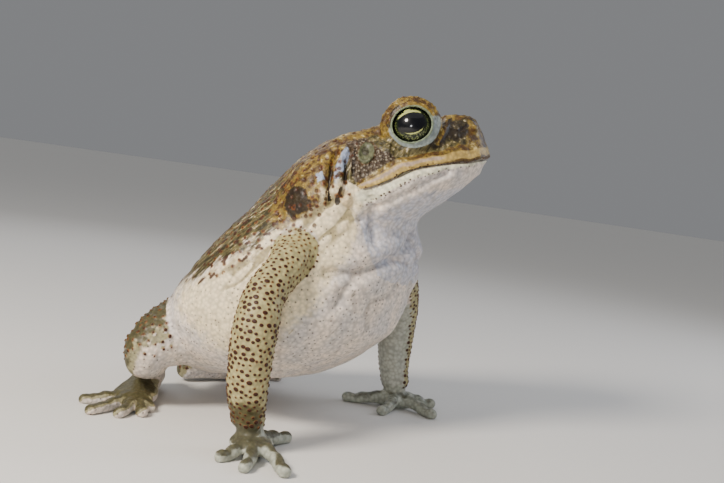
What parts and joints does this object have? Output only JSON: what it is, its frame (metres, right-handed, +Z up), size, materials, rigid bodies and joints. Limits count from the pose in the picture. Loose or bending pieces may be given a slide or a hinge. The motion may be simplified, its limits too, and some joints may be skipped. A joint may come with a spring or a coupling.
{
  "type": "cane toad model",
  "caption": "Life-size still model of a cane toad sitting up on its forelimbs, warty olive-brown back, pale speckled belly, large dark eyes.",
  "frame": {"origin": "middle of the model's footprint, on the floor under the hands and feet", "axes": "+X the way the body points, +Y the toad's left, +Z up"},
  "size_m": [0.0936, 0.1116, 0.0957],
  "materials": {
    "warty_skin": "moist, granular and warty, half gloss",
    "pale_skin": "moist, finely granular with dark spots",
    "eye": "wet gloss over a dark iris with gold flecks"
  },
  "bodies": {
    "root": {"eye_left": "eye", "eye_right": "eye", "foot_left": "warty_skin", "foot_right": "warty_skin", "forearm_left": "pale_skin", "forearm_right": "pale_skin", "hand_left": "pale_skin", "hand_right": "pale_skin", "head": "warty_skin", "lower_jaw": "pale_skin", "shank_left": "warty_skin", "shank_right": "warty_skin", "thigh_left": "warty_skin", "thigh_right": "warty_skin", "torso": "warty_skin", "upper_arm_left": "pale_skin", "upper_arm_right": "pale_skin"}
  },
  "joints": []
}
